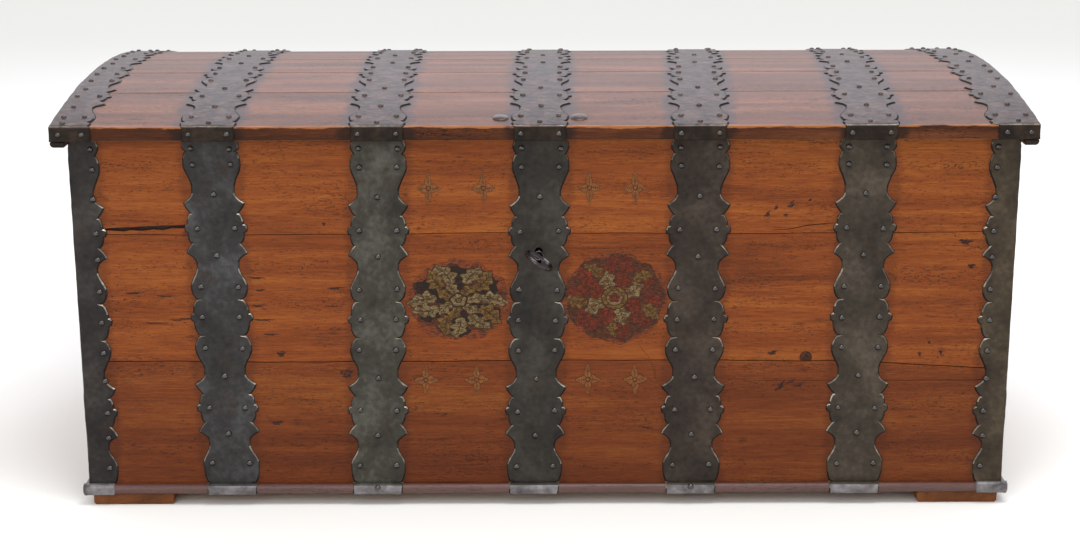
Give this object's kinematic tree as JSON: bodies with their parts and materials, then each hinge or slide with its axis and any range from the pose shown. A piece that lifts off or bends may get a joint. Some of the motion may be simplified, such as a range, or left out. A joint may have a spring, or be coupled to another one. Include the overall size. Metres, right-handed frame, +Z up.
{
  "type": "sea chest",
  "caption": "Oak sea chest with a low arched hinged lid, scalloped wrought-iron straps and nails, key, sliding lock bolt, end handles and an inner till.",
  "frame": {"origin": "on the floor under the middle of the whole chest, key and hinge barrels included", "axes": "+X to the chest's right seen from the front, +Y from the front to the back, +Z up"},
  "size_m": [1.5026, 0.8032, 0.6609],
  "materials": {
    "body_oak": "oiled oak, orange brown, waxed",
    "lid_oak": "oak darkened by wear and iron stain, dull wax",
    "moulding_oak": "oak, dark wax",
    "skid_oak": "bare oak, lighter brown",
    "till_oak": "bare planed oak",
    "body_iron": "wrought iron, dark greenish grey, waxed",
    "lid_iron": "wrought iron, purple grey, rubbed",
    "nail_iron": "wrought iron nail heads, rubbed bright on top",
    "forged_iron": "forged iron, dark",
    "lock_iron": "forged iron, brown with a blue sheen"
  },
  "bodies": {
    "chest": {"front_board_top": "body_oak", "front_board_middle": "body_oak", "front_board_bottom": "body_oak", "back_board_top": "body_oak", "back_board_middle": "body_oak", "back_board_bottom": "body_oak", "left_end_boards": "body_oak", "right_end_boards": "body_oak", "bottom_boards": "body_oak", "skid_left": "skid_oak", "skid_right": "skid_oak", "base_moulding_front": "moulding_oak", "base_moulding_right": "moulding_oak", "base_moulding_back": "moulding_oak", "base_moulding_left": "moulding_oak", "front_strap_left_outer": "body_iron", "front_strap_left_inner": "body_iron", "front_strap_centre": "body_iron", "front_strap_right_inner": "body_iron", "front_strap_right_outer": "body_iron", "back_strap_left_outer": "body_iron", "back_strap_left_inner": "body_iron", "back_strap_centre": "body_iron", "back_strap_right_inner": "body_iron", "back_strap_right_outer": "body_iron", "corner_strap_front_left": "body_iron", "corner_strap_front_right": "body_iron", "corner_strap_back_left": "body_iron", "corner_strap_back_right": "body_iron", "hinge_pins": "forged_iron", "body_strap_nails": "nail_iron", "lock_case": "lock_iron", "handle_eyes_left": "forged_iron", "handle_eyes_right": "forged_iron", "till_front": "till_oak", "till_bottom": "till_oak"},
    "lid": {"lid_board_front": "lid_oak", "lid_board_front_middle": "lid_oak", "lid_board_crest": "lid_oak", "lid_board_rear_middle": "lid_oak", "lid_board_rear": "lid_oak", "lid_batten_left": "lid_oak", "lid_batten_right": "lid_oak", "lid_strap_left_outer": "lid_iron", "lid_strap_left_inner": "lid_iron", "lid_strap_centre": "lid_iron", "lid_strap_right_inner": "lid_iron", "lid_strap_right_outer": "lid_iron", "lid_strap_left_end": "lid_iron", "lid_strap_right_end": "lid_iron", "lid_strap_nails": "nail_iron", "lid_clout_heads": "nail_iron", "lid_staple": "lock_iron"},
    "key": {"key": "lock_iron"},
    "lock_bolt": {"lock_bolt": "lock_iron"},
    "handle_left": {"handle_left": "forged_iron"},
    "handle_right": {"handle_right": "forged_iron"},
    "till_lid": {"till_lid": "till_oak"}
  },
  "joints": [
    {"name": "lid_hinge", "type": "hinge", "parent": "chest", "child": "lid", "pos_m": [0, 0.39365, 0.59559], "axis": [-1, 0, 0], "range_deg": [0, 100]},
    {"name": "key_turn", "type": "hinge", "parent": "chest", "child": "key", "pos_m": [-0.00912, 0, 0.418], "axis": [0, 1, 0], "range_deg": [0, 57]},
    {"name": "bolt_slide", "type": "slide", "parent": "chest", "child": "lock_bolt", "axis": [1, 0, 0], "range_m": [0, 0.018]},
    {"name": "left_handle_swing", "type": "hinge", "parent": "chest", "child": "handle_left", "pos_m": [-0.741, 0.02285, 0.372], "axis": [0, 1, 0], "range_deg": [0, 95]},
    {"name": "right_handle_swing", "type": "hinge", "parent": "chest", "child": "handle_right", "pos_m": [0.741, 0.02285, 0.372], "axis": [0, -1, 0], "range_deg": [0, 95]},
    {"name": "till_lid_hinge", "type": "hinge", "parent": "chest", "child": "till_lid", "pos_m": [-0.6965, 0, 0.4743], "axis": [0, -1, 0], "range_deg": [0, 90]}
  ],
  "couplings": [
    {"joint": "bolt_slide", "follows": "key_turn", "m_per_rad": 0.018075}
  ]
}
